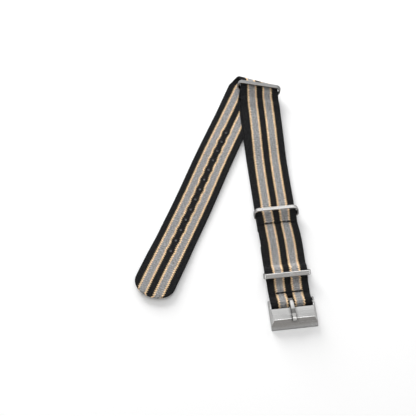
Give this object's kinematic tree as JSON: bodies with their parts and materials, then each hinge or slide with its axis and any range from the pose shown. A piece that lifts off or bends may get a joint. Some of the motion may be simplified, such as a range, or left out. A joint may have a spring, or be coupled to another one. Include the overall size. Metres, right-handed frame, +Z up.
{
  "type": "fabric watch strap",
  "caption": "Pass-through striped webbing watch strap with pin buckle, sewn keepers and an under-strap that ends in a ring.",
  "frame": {"origin": "underside of the strap, on its centre line, straight below the upper keeper's lower bar", "axes": "+Z up from the table the strap lies on; +Y along the buckle leg, from the buckle towards the fold; +X to the right seen from above with the buckle nearest"},
  "size_m": [0.0893, 0.1537, 0.009],
  "materials": {
    "striped_webbing": "woven nylon webbing, black with grey and beige stripes",
    "brushed_steel": "brushed",
    "plain_steel": "turned",
    "keeper_steel": "satin",
    "thread": "twisted polyester thread"
  },
  "bodies": {
    "strap_body": {"strap_buckle_end": "striped_webbing", "strap_watch_span": "striped_webbing", "strap_bar_loop": "striped_webbing", "strap_return_flap": "striped_webbing", "strap_end_fold": "striped_webbing", "short_strap": "striped_webbing", "short_strap_loop": "striped_webbing", "spring_bar_tube": "plain_steel", "plunger_spring": "plain_steel", "seam_buckle": "thread", "tacks_lower_keeper": "thread", "seam_upper_keeper": "thread", "seam_short_strap": "thread", "seam_end_ring": "thread"},
    "free_leg": {"strap_tail": "striped_webbing"},
    "buckle": {"buckle_frame": "brushed_steel"},
    "tongue": {"buckle_tongue": "brushed_steel"},
    "left_plunger": {"plunger_left": "plain_steel"},
    "right_plunger": {"plunger_right": "plain_steel"},
    "keeper_low": {"lower_keeper": "keeper_steel"},
    "keeper_high": {"upper_keeper": "keeper_steel"},
    "ring": {"end_ring": "keeper_steel"}
  },
  "joints": [
    {"name": "leg_fold", "type": "hinge", "parent": "strap_body", "child": "free_leg", "pos_m": [0.00043, 0.08634, 0.00352], "axis": [0.9611, -0.2761, 0], "range_deg": [0, 180], "deforming": ["strap_end_fold"]},
    {"name": "buckle_swing", "type": "hinge", "parent": "strap_body", "child": "buckle", "pos_m": [0, -0.0485, 0.0022], "axis": [-1, 0, 0], "range_deg": [-60, 50]},
    {"name": "tongue_lift", "type": "hinge", "parent": "buckle", "child": "tongue", "pos_m": [0, -0.0485, 0.0022], "axis": [-1, 0, 0], "range_deg": [0, 75]},
    {"name": "left_plunger_press", "type": "slide", "parent": "strap_body", "child": "left_plunger", "axis": [1, 0, 0], "range_m": [0, 0.00095], "stiffness_N_per_m": 900, "springref_m": -0.001, "deforming": ["plunger_spring"]},
    {"name": "right_plunger_press", "type": "slide", "parent": "strap_body", "child": "right_plunger", "axis": [-1, 0, 0], "range_m": [0, 0.00095], "stiffness_N_per_m": 900, "springref_m": -0.001, "deforming": ["plunger_spring"]},
    {"name": "lower_keeper_tilt", "type": "hinge", "parent": "strap_body", "child": "keeper_low", "pos_m": [0, -0.0328, 0.00245], "axis": [1, 0, 0], "range_deg": [-65, 5]},
    {"name": "upper_keeper_tilt", "type": "hinge", "parent": "strap_body", "child": "keeper_high", "pos_m": [0, 0, 0.00245], "axis": [1, 0, 0], "range_deg": [-7, 63]},
    {"name": "end_ring_tilt", "type": "hinge", "parent": "strap_body", "child": "ring", "pos_m": [0.0022, 0.0805, 0.00355], "axis": [0.9537, -0.3007, 0], "range_deg": [-7, 24]}
  ]
}
